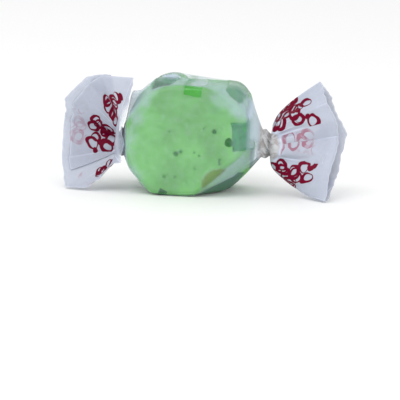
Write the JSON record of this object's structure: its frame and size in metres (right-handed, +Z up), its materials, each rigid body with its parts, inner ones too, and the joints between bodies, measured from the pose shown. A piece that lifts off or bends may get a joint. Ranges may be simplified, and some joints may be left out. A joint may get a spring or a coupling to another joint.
{
  "type": "salt water taffy",
  "caption": "Cut of striped pulled taffy rolled in a wax-paper sheet whose two ends are twisted shut and flare out.",
  "frame": {"origin": "middle of the flat spot under the taffy, on the paper's outer face that it stands on", "axes": "+X along the two twisted ends, +Y through the rope away from the shown cut face, +Z up"},
  "size_m": [0.058, 0.021, 0.0235],
  "materials": {
    "taffy_green": "soft satin, slightly waxy",
    "stripe_green": "glossy, darker jelly-like taffy",
    "wax_paper": "translucent waxed sheen"
  },
  "bodies": {
    "root": {"taffy": "taffy_green", "stripe_1": "stripe_green", "stripe_2": "stripe_green", "stripe_3": "stripe_green", "stripe_4": "stripe_green", "stripe_5": "stripe_green", "stripe_6": "stripe_green", "wrapper": "wax_paper", "wrapper_left_end": "wax_paper", "wrapper_right_end": "wax_paper"}
  },
  "joints": []
}
